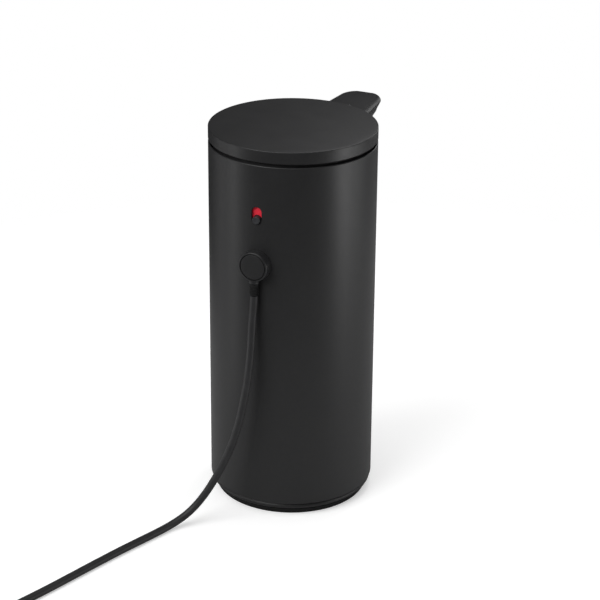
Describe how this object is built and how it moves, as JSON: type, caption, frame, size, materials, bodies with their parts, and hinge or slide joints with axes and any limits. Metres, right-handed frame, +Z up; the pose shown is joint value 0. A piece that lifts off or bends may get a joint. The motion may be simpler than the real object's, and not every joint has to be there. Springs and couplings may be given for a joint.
{
  "type": "automatic soap dispenser",
  "caption": "Round upright soap dispenser with a flat spout, hinged filler lid, sliding power switch, gear pump and a magnetic charging cable.",
  "frame": {"origin": "centre of the base on the counter it stands on", "axes": "+Z up along the body; -Y towards the spout; +Y towards the switch and the charging port at the back; +X to the side"},
  "size_m": [0.1071, 0.3303, 0.1754],
  "materials": {
    "body_black": "matte black powder coat",
    "lid_black": "satin black",
    "base_plastic": "satin black moulded plastic",
    "soft_rubber": "matte rubber",
    "core_plastic": "grey moulded plastic",
    "tank_plastic": "milky moulded plastic",
    "silicone": "translucent silicone",
    "pump_plastic": "ivory engineering plastic",
    "steel": "plain steel",
    "armature_iron": "laminated iron",
    "magnet_black": "ferrite",
    "contact_brass": "gold plated",
    "board_green": "green solder mask",
    "cell_wrap": "shrink wrap",
    "sensor_glass": "dark infrared window",
    "knob_grey": "dark grey",
    "flag_red": "red",
    "puck_black": "satin black",
    "puck_face_black": "smooth black",
    "cord_rubber": "smooth black jacket",
    "tongue_white": "white insulator"
  },
  "bodies": {
    "housing": {"body_sleeve": "body_black", "foot_pad": "soft_rubber", "base_plate": "base_plastic", "base_screw_1": "steel", "base_screw_2": "steel", "base_screw_3": "steel", "core_frame": "core_plastic", "soap_tank": "tank_plastic", "tank_gasket": "soft_rubber", "top_deck": "core_plastic", "hinge_pin": "steel", "spout_shell": "body_black", "nozzle_elbow": "core_plastic", "nozzle_tip": "silicone", "sensor_window": "sensor_glass", "sensor_board": "board_green", "delivery_tube": "silicone", "inlet_grommet": "soft_rubber", "pump_body": "pump_plastic", "pump_cover": "pump_plastic", "pump_screw_1": "steel", "pump_screw_2": "steel", "shaft_seal": "soft_rubber", "idler_pin": "steel", "motor_can": "steel", "motor_endcap": "core_plastic", "motor_magnet_1": "magnet_black", "motor_magnet_2": "magnet_black", "motor_terminals": "contact_brass", "battery_cell": "cell_wrap", "battery_tab_lower": "steel", "battery_tab_upper": "steel", "main_board": "board_green", "board_screw_1": "steel", "board_screw_2": "steel", "slide_switch_case": "core_plastic", "switch_guide": "core_plastic", "port_housing": "core_plastic", "port_contacts": "contact_brass", "port_keeper": "steel", "port_seal": "soft_rubber"},
    "lid": {"lid_cap": "lid_black", "lid_liner": "core_plastic", "lid_seal": "silicone"},
    "switch": {"switch_knob": "knob_grey", "switch_flag": "flag_red"},
    "charging_cable": {"puck_housing": "puck_black", "puck_face": "puck_face_black", "puck_magnet": "steel", "puck_pins": "contact_brass", "cable_relief": "soft_rubber", "charge_cord": "cord_rubber", "cord_coil": "cord_rubber", "charger_plug_grip": "cord_rubber", "charger_plug_shell": "steel", "charger_plug_tongue": "tongue_white"},
    "pump_drive": {"motor_shaft": "steel", "motor_armature": "armature_iron", "drive_gear": "steel"},
    "pump_idler": {"idler_gear": "steel"}
  },
  "joints": [
    {"name": "lid_hinge", "type": "hinge", "parent": "housing", "child": "lid", "pos_m": [0, -0.0408, 0.1712], "axis": [1, 0, 0], "range_deg": [0, 105]},
    {"name": "power_switch", "type": "slide", "parent": "housing", "child": "switch", "axis": [0, 0, 1], "range_m": [0, 0.004]},
    {"name": "cable_pull", "type": "slide", "parent": "housing", "child": "charging_cable", "axis": [0, 1, 0], "range_m": [0, 0.015]},
    {"name": "pump_drive_spin", "type": "hinge", "parent": "housing", "child": "pump_drive", "pos_m": [-0.009, -0.004, 0], "axis": [0, 0, 1], "continuous": true},
    {"name": "pump_idler_spin", "type": "hinge", "parent": "housing", "child": "pump_idler", "pos_m": [0.003, -0.004, 0], "axis": [0, 0, 1], "continuous": true}
  ],
  "couplings": [
    {"joint": "pump_idler_spin", "follows": "pump_drive_spin", "ratio": -1}
  ]
}
